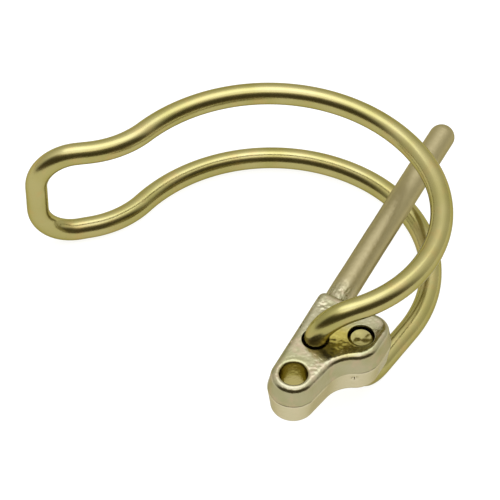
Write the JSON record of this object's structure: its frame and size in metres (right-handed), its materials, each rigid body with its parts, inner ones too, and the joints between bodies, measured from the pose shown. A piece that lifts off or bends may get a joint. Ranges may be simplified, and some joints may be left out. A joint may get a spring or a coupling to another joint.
{
  "type": "lynch pin",
  "caption": "Forged lynch pin: round domed shaft, flat head with a chain hole, and a double-wire spring bail that swings over the shaft's end.",
  "frame": {"origin": "on the shaft's axis, at the outermost plane of the head's shoulder", "axes": "+X along the shaft to its domed end; +Z along the head's three bores, up as it lies; the side lobe with the lower leg's bore is on the -Y side"},
  "size_m": [0.1185, 0.1252, 0.0406],
  "materials": {
    "plated_forging": "yellow zinc plated, satin",
    "plated_wire": "yellow zinc plated, glossy"
  },
  "bodies": {
    "pin": {"forged_pin": "plated_forging"},
    "bail": {"wire_bail": "plated_wire"}
  },
  "joints": [
    {"name": "bail_swing", "type": "hinge", "parent": "pin", "child": "bail", "pos_m": [-0.0181, -0.0029, 0], "axis": [0, 0, 1], "range_deg": [-86, 82], "deforming": ["wire_bail"]}
  ]
}
